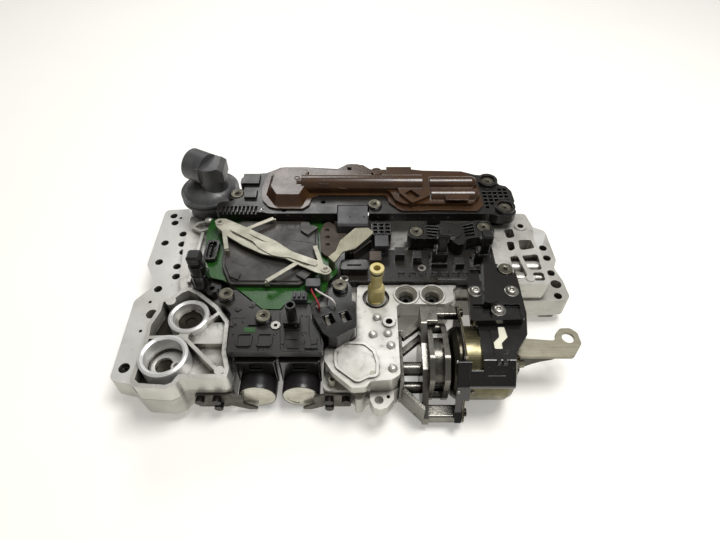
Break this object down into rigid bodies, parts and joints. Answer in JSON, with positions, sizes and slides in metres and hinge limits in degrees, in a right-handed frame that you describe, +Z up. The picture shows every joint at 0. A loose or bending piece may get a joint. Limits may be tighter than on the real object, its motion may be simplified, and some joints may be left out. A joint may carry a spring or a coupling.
{
  "type": "transmission mechatronic unit",
  "caption": "Cast valve body with ribbed blocks, solenoids, control electronics, round connector, oil pipe and a sliding parking lock actuator.",
  "frame": {"origin": "centre of the datum bore in the front lug, on the joint face between the two castings", "axes": "+X right along the front edge towards the actuator's lever, +Y to the rear carrier, +Z up through the datum bore"},
  "size_m": [0.4104, 0.2699, 0.11],
  "materials": {
    "cast_light": "as cast",
    "cast_ribbed": "as cast",
    "machined_ring": "machined",
    "sheet_steel": "satin",
    "spring_steel": "satin",
    "ground_steel": "ground",
    "screw_steel": "phosphated",
    "bright_screw": "bright",
    "pipe_yellow": "satin",
    "seal_rubber": "matte",
    "can_black": "satin",
    "can_khaki": "plated",
    "drum_steel": "plated",
    "black_plastic": "satin",
    "dark_cover": "satin",
    "grey_plastic": "satin",
    "brown_plastic": "satin",
    "board_green": "satin",
    "wire_red": "satin",
    "wire_white": "satin",
    "bus_cream": "bright",
    "bush_brass": "turned"
  },
  "bodies": {
    "unit": {"accumulator_spring": "spring_steel", "actuator_bracket": "cast_ribbed", "actuator_bush": "bush_brass", "actuator_can": "can_khaki", "actuator_housing": "black_plastic", "board_socket": "black_plastic", "bore_plugs": "machined_ring", "brown_cover": "brown_plastic", "brown_insulators": "brown_plastic", "bus_bar": "bus_cream", "check_valve_cups": "black_plastic", "circuit_board": "board_green", "clamp_rivets": "sheet_steel", "clamp_spring": "sheet_steel", "clamp_strap": "sheet_steel", "clip_block": "black_plastic", "component_blocks": "grey_plastic", "connector_body": "black_plastic", "connector_pins": "bush_brass", "connector_seal": "seal_rubber", "contact_springs": "spring_steel", "control_unit_cover": "dark_cover", "electronics_tray": "black_plastic", "eyelets": "machined_ring", "flange_screws": "screw_steel", "front_drum": "drum_steel", "front_module": "black_plastic", "front_spool_spring": "spring_steel", "gear_cover": "cast_ribbed", "grey_plugs": "grey_plastic", "lattice_insert": "black_plastic", "left_frame": "black_plastic", "lower_valve_body": "cast_light", "oil_pipe": "pipe_yellow", "pan_screws": "bright_screw", "pipe_seal": "seal_rubber", "port_ring": "machined_ring", "rear_carrier": "black_plastic", "rear_spool_spring": "spring_steel", "red_wire": "wire_red", "relay_module": "black_plastic", "retaining_ring": "spring_steel", "ribbed_bracket": "black_plastic", "saddle_bracket": "black_plastic", "seam_flange": "cast_light", "separator_plate": "sheet_steel", "small_screws": "screw_steel", "solenoid_brackets": "spring_steel", "solenoid_cans": "can_black", "solenoid_discs": "sheet_steel", "solenoid_heads": "black_plastic", "terminal_blocks": "black_plastic", "tower_sensors": "black_plastic", "upper_valve_body": "cast_light", "white_wire": "wire_white"},
    "selector": {"output_rod": "ground_steel", "selector_lever": "ground_steel"},
    "accumulator": {"accumulator_piston": "ground_steel"},
    "front_valve": {"front_spool": "ground_steel"},
    "rear_valve": {"rear_spool": "ground_steel"}
  },
  "joints": [
    {"name": "selector_slide", "type": "slide", "parent": "unit", "child": "selector", "axis": [1, 0, 0], "range_m": [0, 0.012]},
    {"name": "accumulator_slide", "type": "slide", "parent": "unit", "child": "accumulator", "axis": [0, 0, -1], "range_m": [0, 0.003], "stiffness_N_per_m": 1500, "springref_m": -0.003, "deforming": ["accumulator_spring"]},
    {"name": "front_valve_slide", "type": "slide", "parent": "unit", "child": "front_valve", "axis": [1, 0, 0], "range_m": [0, 0.004], "stiffness_N_per_m": 800, "springref_m": -0.002, "deforming": ["front_spool_spring"]},
    {"name": "rear_valve_slide", "type": "slide", "parent": "unit", "child": "rear_valve", "axis": [1, 0, 0], "range_m": [0, 0.004], "stiffness_N_per_m": 800, "springref_m": -0.002, "deforming": ["rear_spool_spring"]}
  ]
}
